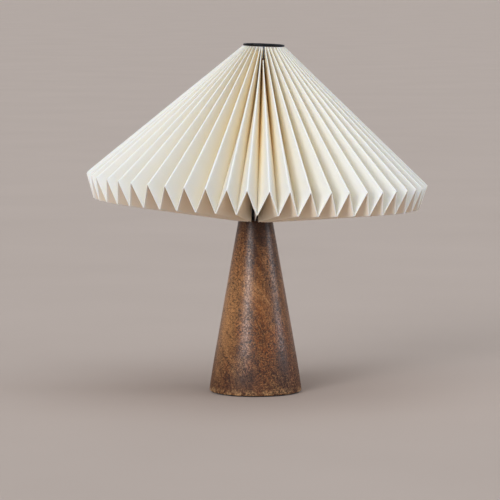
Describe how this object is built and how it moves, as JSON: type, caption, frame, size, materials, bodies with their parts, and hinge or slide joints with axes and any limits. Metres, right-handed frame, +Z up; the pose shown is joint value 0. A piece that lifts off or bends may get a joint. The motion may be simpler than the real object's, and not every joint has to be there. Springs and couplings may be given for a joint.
{
  "type": "table lamp",
  "caption": "Table lamp with a turned wooden cone foot and a wide pleated paper cone shade whose folds reverse at the rim and return to the neck.",
  "frame": {"origin": "centre of the foot's underside, on the table", "axes": "+Z up along the foot's axis, -Y towards the seam that shows, +X to the right of it, which is the side the shade leans to"},
  "size_m": [0.4079, 0.4082, 0.4202],
  "materials": {
    "wood": "stained and waxed, satin",
    "felt": "black felt",
    "black_plastic": "black moulded, fine satin",
    "zinc_steel": "zinc plated",
    "brass_plated": "brass plated, dulled",
    "holder_ceramic": "white steatite, unglazed",
    "contact_brass": "bright",
    "ivory_plastic": "ivory moulded",
    "black_wire": "gloss black enamel",
    "shade_paper": "ivory pleated paper, slightly toothy",
    "cap_metal": "drawn, satin",
    "cap_glass": "black vitrite",
    "bulb_glass": "frosted",
    "stem_glass": "clear",
    "filament": "phosphor coated"
  },
  "bodies": {
    "base": {"wood_base": "wood", "felt_pad": "felt", "cord_bush": "black_plastic", "threaded_tube": "zinc_steel", "bottom_washer": "zinc_steel", "bottom_nut": "brass_plated", "top_washer": "black_plastic", "lampholder_dome": "black_plastic", "holder_nut": "brass_plated", "lampholder_skirt": "black_plastic", "lampholder_insert": "holder_ceramic", "terminal_screw_left": "contact_brass", "terminal_screw_right": "contact_brass", "side_contact_right": "contact_brass", "side_contact_left": "contact_brass"},
    "contact": {"centre_contact": "contact_brass"},
    "lower_ring": {"shade_ring_lower": "black_plastic"},
    "upper_ring": {"shade_ring_upper": "black_plastic"},
    "seat": {"reducer_ring": "ivory_plastic"},
    "shade": {"spider_ring": "black_wire", "spider_arm_1": "black_wire", "spider_arm_2": "black_wire", "spider_arm_3": "black_wire", "lower_wire_ring": "black_wire", "top_ring": "black_wire", "upright_front": "black_wire", "upright_rear": "black_wire", "paper_cone_1": "shade_paper", "paper_cone_2": "shade_paper", "paper_cone_3": "shade_paper", "paper_cone_4": "shade_paper", "paper_cone_5": "shade_paper", "paper_cone_6": "shade_paper", "paper_cone_7": "shade_paper", "paper_cone_8": "shade_paper", "paper_underside_1": "shade_paper", "paper_underside_2": "shade_paper", "paper_underside_3": "shade_paper", "paper_underside_4": "shade_paper", "paper_underside_5": "shade_paper", "paper_underside_6": "shade_paper", "paper_underside_7": "shade_paper", "paper_underside_8": "shade_paper"},
    "bulb": {"bulb_tip": "cap_metal", "bulb_insulator": "cap_glass", "bulb_cap": "cap_metal", "bulb_globe": "bulb_glass", "bulb_stem": "stem_glass", "bulb_filament": "filament"}
  },
  "joints": [
    {"name": "shade_lean", "type": "hinge", "parent": "base", "child": "seat", "pos_m": [0, 0, 0.24], "axis": [0, 1, 0], "range_deg": [-4.24, 0]},
    {"name": "shade_turn", "type": "hinge", "parent": "seat", "child": "shade", "pos_m": [0, 0, 0.24], "axis": [0.037, 0, 0.9993], "continuous": true},
    {"name": "upper_ring_turn", "type": "hinge", "parent": "base", "child": "upper_ring", "pos_m": [0, 0, 0.2458], "axis": [0, 0, 1], "continuous": true},
    {"name": "lower_ring_turn", "type": "hinge", "parent": "base", "child": "lower_ring", "pos_m": [0, 0, 0.2326], "axis": [0, 0, 1], "continuous": true},
    {"name": "bulb_withdraw", "type": "slide", "parent": "base", "child": "bulb", "axis": [0, 0, 1], "range_m": [0, 0.028]},
    {"name": "contact_press", "type": "slide", "parent": "base", "child": "contact", "axis": [0, 0, -1], "range_m": [0, 0.0012], "stiffness_N_per_m": 600}
  ]
}
